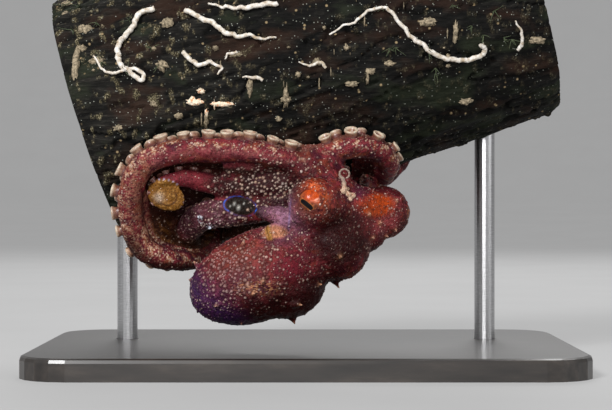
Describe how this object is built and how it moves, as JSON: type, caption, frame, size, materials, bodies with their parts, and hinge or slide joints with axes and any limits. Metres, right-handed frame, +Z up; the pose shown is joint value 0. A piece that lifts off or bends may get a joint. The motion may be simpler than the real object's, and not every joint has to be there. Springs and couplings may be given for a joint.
{
  "type": "octopus model on a display stand",
  "caption": "Life-size still model of a mototi octopus that clings under a short cut log, held up by two rods on a flat base.",
  "frame": {"origin": "centre of the stand's base on the surface that it stands on", "axes": "+Z up, +X to the right as the animal is seen in the picture, towards the log's higher end, +Y away from the viewer"},
  "size_m": [0.152, 0.104, 0.1449],
  "materials": {
    "skin": "moist, bumpy and mottled",
    "eye": "glossy",
    "bark": "rough, sea-worn",
    "base": "satin black stain",
    "rod": "brushed"
  },
  "bodies": {
    "root": {"arm_crown": "skin", "arm_left_1_middle": "skin", "arm_left_1_root": "skin", "arm_left_1_tip": "skin", "arm_left_2_middle": "skin", "arm_left_2_root": "skin", "arm_left_2_tip": "skin", "arm_left_3_middle": "skin", "arm_left_3_root": "skin", "arm_left_3_tip": "skin", "arm_left_4_middle": "skin", "arm_left_4_root": "skin", "arm_left_4_tip": "skin", "arm_right_1_middle": "skin", "arm_right_1_root": "skin", "arm_right_1_tip": "skin", "arm_right_2_middle": "skin", "arm_right_2_root": "skin", "arm_right_2_tip": "skin", "arm_right_3_middle": "skin", "arm_right_3_root": "skin", "arm_right_3_tip": "skin", "arm_right_4_middle": "skin", "arm_right_4_root": "skin", "arm_right_4_tip": "skin", "eye_left": "eye", "eye_right": "eye", "funnel": "skin", "head": "skin", "log_perch": "bark", "mantle": "skin", "stand_base": "base", "stand_rod_left": "rod", "stand_rod_right": "rod"}
  },
  "joints": []
}
